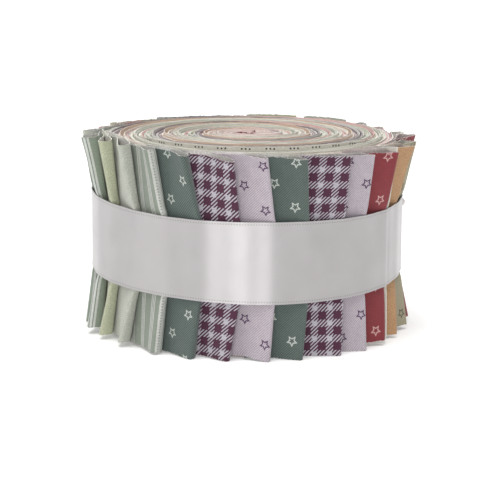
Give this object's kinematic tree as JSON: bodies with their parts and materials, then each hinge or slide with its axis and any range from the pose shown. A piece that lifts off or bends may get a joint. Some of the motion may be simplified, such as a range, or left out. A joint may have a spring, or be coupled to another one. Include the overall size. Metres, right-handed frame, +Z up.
{
  "type": "jelly roll of pre-cut fabric strips",
  "caption": "Round roll of folded cotton patchwork strips with pleated outer ends, wound flat and held round the waist by a plain satin ribbon.",
  "frame": {"origin": "centre of the flat base that the roll stands on", "axes": "+Z up along the winding axis, -Y towards the front of the picture, +X to its right"},
  "size_m": [0.1093, 0.1056, 0.0656],
  "materials": {
    "cotton_stripe": "matt printed cotton, fine grey-green stripes",
    "cotton_celery": "matt printed cotton, pale yellow-green speckle",
    "cotton_sage": "matt printed cotton, grey-cream speckle",
    "cotton_line": "matt printed cotton, white line groups on grey-green",
    "cotton_green": "matt twill-look cotton, outline stars on dark green",
    "cotton_gingham": "matt gingham cotton, plum and pale grey",
    "cotton_lilac": "matt twill-look cotton, outline stars on lilac",
    "cotton_red": "matt printed cotton, outline stars on muted red",
    "cotton_cream": "matt printed cotton, small dots on cream",
    "cotton_tan": "matt printed cotton, plain warm tan",
    "cotton_olive": "matt printed cotton, outline stars on khaki",
    "cotton_blue": "matt printed cotton, grey-blue",
    "cotton_rose": "matt printed cotton, dusty rose",
    "cotton_pink": "matt printed cotton, pale pink",
    "roll_layers": "cut edges of many wound cotton layers",
    "ribbon_satin": "soft white satin with a sheen",
    "pin_pearl": "pearl"
  },
  "bodies": {
    "root": {"wound_roll": "roll_layers", "strip_end_01": "cotton_stripe", "strip_end_02": "cotton_celery", "strip_end_03": "cotton_sage", "strip_end_04": "cotton_line", "strip_end_05": "cotton_green", "strip_end_06": "cotton_gingham", "strip_end_07": "cotton_lilac", "strip_end_08": "cotton_green", "strip_end_09": "cotton_gingham", "strip_end_10": "cotton_lilac", "strip_end_11": "cotton_red", "strip_end_12": "cotton_cream", "strip_end_13": "cotton_tan", "strip_end_14": "cotton_olive", "strip_end_15": "cotton_red", "strip_end_16": "cotton_cream", "strip_end_17": "cotton_rose", "strip_end_18": "cotton_lilac", "strip_end_19": "cotton_pink", "strip_end_20": "cotton_sage", "strip_end_21": "cotton_cream", "strip_end_22": "cotton_celery", "strip_end_23": "cotton_sage", "strip_end_24": "cotton_line", "strip_end_25": "cotton_blue", "strip_end_26": "cotton_cream", "strip_end_27": "cotton_celery", "strip_end_28": "cotton_pink", "strip_end_29": "cotton_sage", "strip_end_30": "cotton_stripe", "ribbon": "ribbon_satin", "pin_head": "pin_pearl"}
  },
  "joints": []
}
